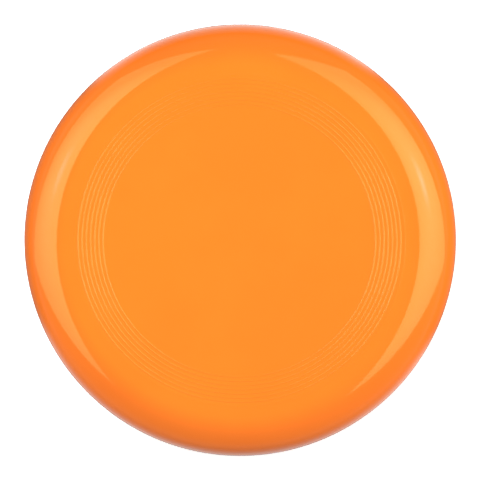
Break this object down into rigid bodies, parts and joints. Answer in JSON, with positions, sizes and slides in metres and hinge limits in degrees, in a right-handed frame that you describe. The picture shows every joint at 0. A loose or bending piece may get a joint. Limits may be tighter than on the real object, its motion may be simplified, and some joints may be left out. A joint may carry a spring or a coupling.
{
  "type": "flying disc",
  "caption": "Round moulded flying disc with a flat plate, raised flight rings, a rounded shoulder and a beaded lip around a hollow underside.",
  "frame": {"origin": "middle of the lip's foot plane, on the disc's axis", "axes": "+Z along the disc's axis, pointing out of the top plate; X and Y lie in the foot plane and are free to choose, because the disc is round"},
  "size_m": [0.23, 0.23, 0.0251],
  "materials": {
    "disc_body": "glossy orange polypropylene on top, more satin on the underside"
  },
  "bodies": {
    "root": {"disc_body": "disc_body"}
  },
  "joints": []
}
